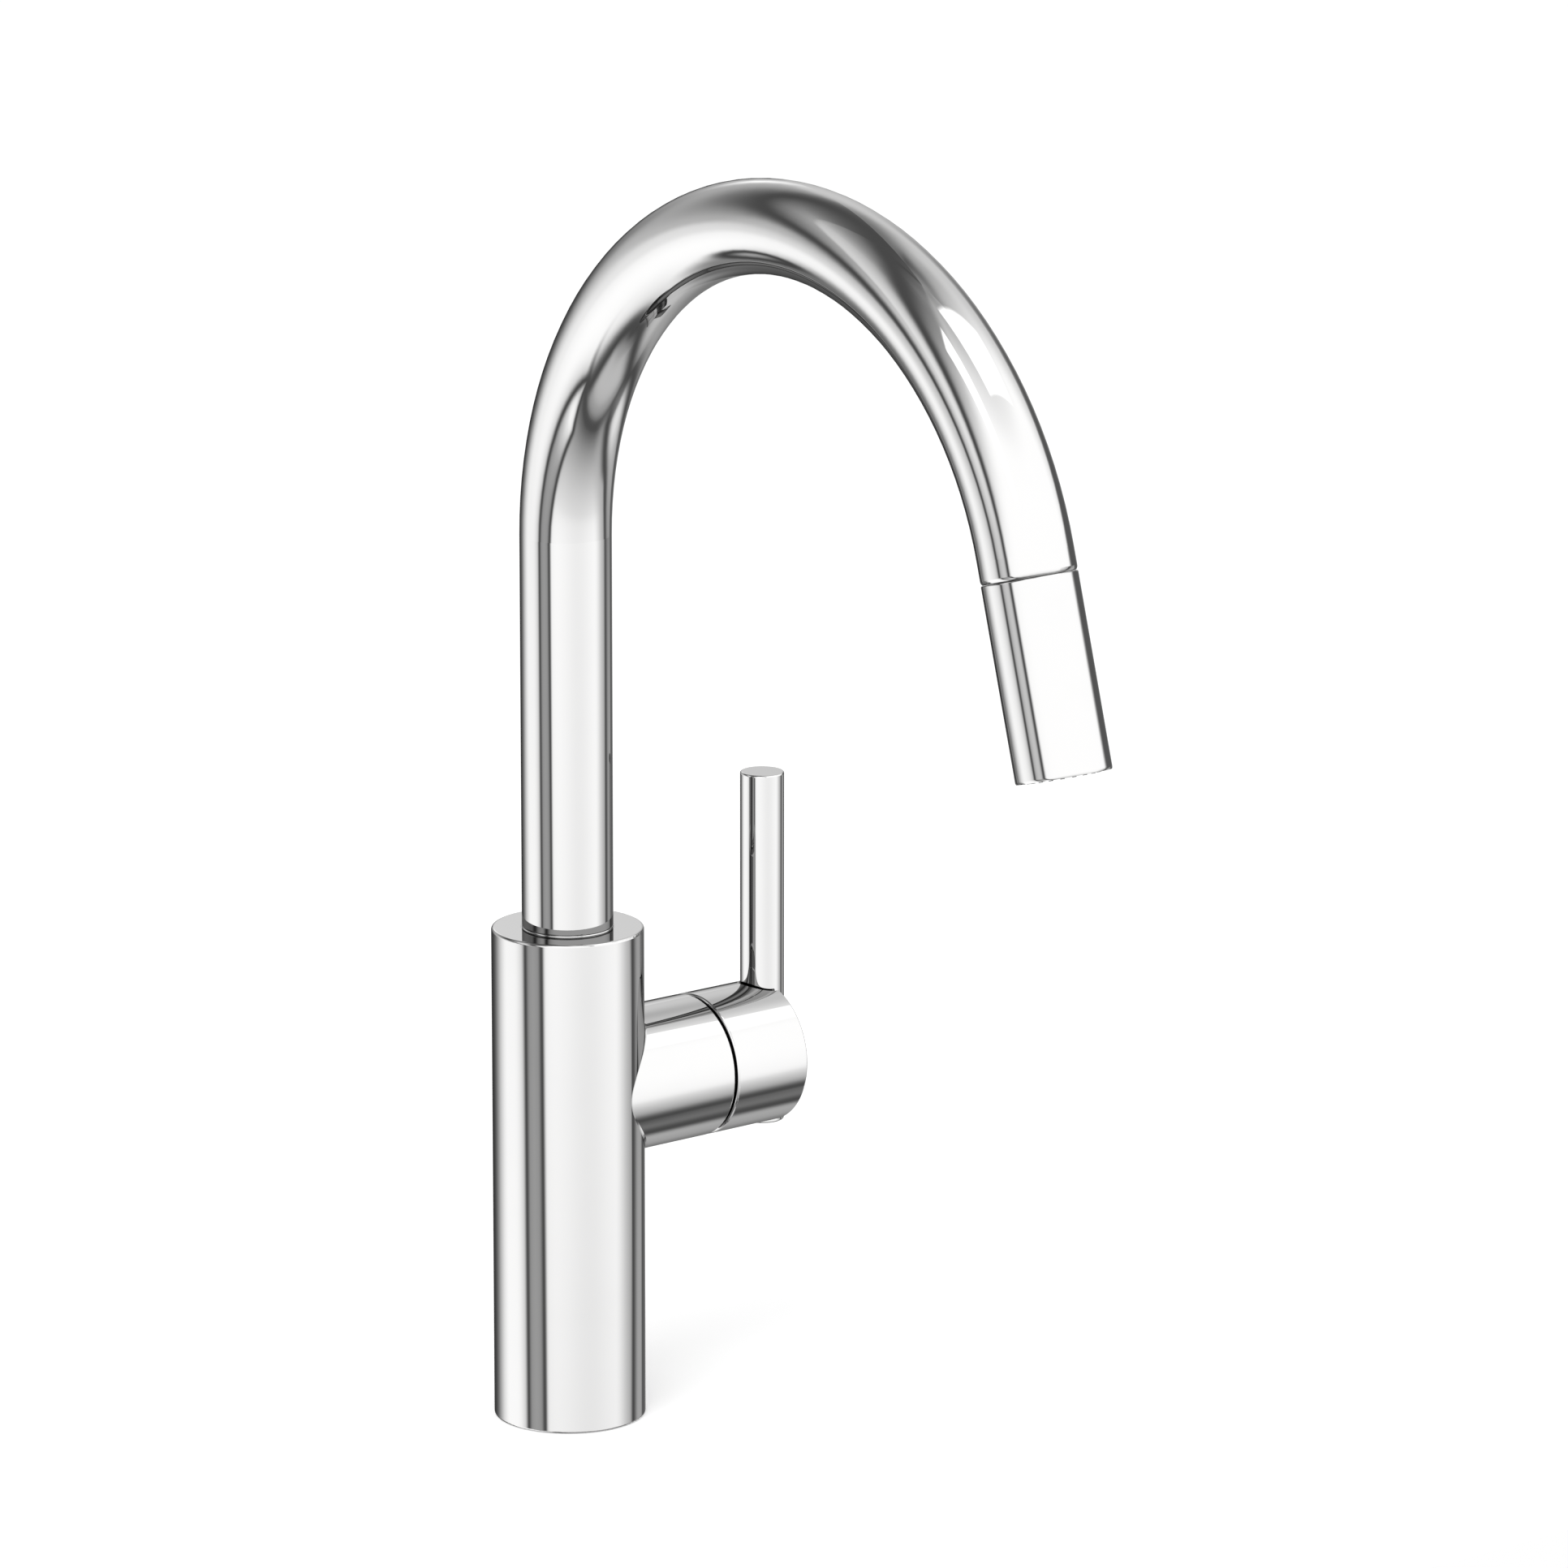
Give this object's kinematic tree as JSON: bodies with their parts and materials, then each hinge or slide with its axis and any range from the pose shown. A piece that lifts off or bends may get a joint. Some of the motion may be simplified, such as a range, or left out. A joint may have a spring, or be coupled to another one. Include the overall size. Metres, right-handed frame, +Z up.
{
  "type": "kitchen faucet",
  "caption": "Single-handle kitchen faucet with a swivelling gooseneck spout, a pull-down spray head on a hose and a side lever that tilts for flow and turns for temperature.",
  "frame": {"origin": "centre of the foot, in the plane of the deck", "axes": "+Z up the column; the spout reaches towards -Y at rest; the handle stub points along +X"},
  "size_m": [0.1158, 0.2898, 0.4343],
  "materials": {
    "chrome_body": "polished chrome plate on cast brass",
    "chrome_spout": "polished chrome plate on brass tube",
    "chrome_handle": "polished chrome plate on brass",
    "chrome_head": "polished chrome plate on brass",
    "chrome_button": "chrome-plated plastic",
    "brass": "turned brass",
    "steel": "plain stainless steel",
    "steel_ferrule": "crimped stainless steel",
    "rubber": "black rubber",
    "nozzle_rubber": "grey silicone rubber",
    "ceramic": "lapped ceramic",
    "cartridge_plastic": "plain moulded plastic",
    "bearing_plastic": "black bearing plastic",
    "head_plastic": "dark moulded plastic",
    "face_plastic": "grey moulded plastic",
    "hose_braid": "braided grey nylon",
    "connector_plastic": "black moulded plastic"
  },
  "bodies": {
    "base": {"faucet_body": "chrome_body", "valve_block": "brass", "base_ring": "brass", "base_gasket": "rubber", "cartridge_base": "cartridge_plastic", "port_seals": "rubber", "fixed_disc": "ceramic", "cartridge_housing": "cartridge_plastic", "bonnet_nut": "steel", "hub_glide_ring": "bearing_plastic", "thrust_washer": "bearing_plastic", "spout_set_screw": "steel"},
    "spout": {"spout_tube": "chrome_spout", "spout_adapter": "brass", "swivel_bushings": "bearing_plastic", "swivel_seal": "rubber", "foot_ring": "chrome_spout", "dock_insert": "bearing_plastic", "pull_hose": "hose_braid", "hose_connector": "connector_plastic"},
    "hose_end": {"hose_ferrule": "steel_ferrule", "hose_spigot": "brass", "hose_seal": "rubber"},
    "wand": {"wand_shell": "chrome_head", "wand_core": "head_plastic", "swivel_clip": "steel", "check_valve": "head_plastic", "button_pin": "steel", "diverter_spring": "steel", "face_seal": "rubber", "spray_face": "face_plastic", "nozzle_ring": "nozzle_rubber", "aerator_housing": "face_plastic", "aerator_screen": "steel"},
    "rocker": {"spray_button": "chrome_button"},
    "diverter": {"diverter_plunger": "head_plastic"},
    "hub": {"handle_hub": "chrome_handle", "stem_rotor": "cartridge_plastic", "stem_pin": "steel", "hub_set_screw": "steel"},
    "lever": {"lever_rod": "chrome_handle", "valve_stem": "steel", "lever_set_screw": "steel"},
    "disc": {"moving_disc": "ceramic", "disc_carrier": "cartridge_plastic"}
  },
  "joints": [
    {"name": "spout_swivel", "type": "hinge", "parent": "base", "child": "spout", "pos_m": [0, 0, 0.1505], "axis": [0, 0, 1], "continuous": true},
    {"name": "head_pull", "type": "slide", "parent": "spout", "child": "hose_end", "axis": [0, -0.2746, -0.9615], "range_m": [0, 0.45], "stiffness_N_per_m": 5, "springref_m": -1.2, "deforming": ["pull_hose"]},
    {"name": "head_spin", "type": "hinge", "parent": "hose_end", "child": "wand", "pos_m": [0, -0.23563, 0.31709], "axis": [0, -0.2746, -0.9615], "continuous": true},
    {"name": "button_press", "type": "hinge", "parent": "wand", "child": "rocker", "pos_m": [0, -0.23066, 0.29695], "axis": [-1, 0, 0], "range_deg": [0, 6], "stiffness_Nm_per_rad": 0.3, "springref_deg": -2.86, "deforming": ["diverter_spring"]},
    {"name": "diverter_slide", "type": "slide", "parent": "wand", "child": "diverter", "axis": [0, -0.9615, 0.2746], "range_m": [0, 0.001]},
    {"name": "handle_turn", "type": "hinge", "parent": "base", "child": "hub", "pos_m": [0.0522, 0, 0.1116], "axis": [1, 0, 0], "range_deg": [-50, 50]},
    {"name": "lever_tilt", "type": "hinge", "parent": "hub", "child": "lever", "pos_m": [0.061, 0, 0.1116], "axis": [0, 1, 0], "range_deg": [0, 20]},
    {"name": "disc_slide", "type": "slide", "parent": "hub", "child": "disc", "axis": [0, 0, 1], "range_m": [0, 0.00619]}
  ],
  "couplings": [
    {"joint": "disc_slide", "follows": "lever_tilt", "m_per_rad": 0.017147},
    {"joint": "diverter_slide", "follows": "button_press", "m_per_rad": 0.008}
  ]
}
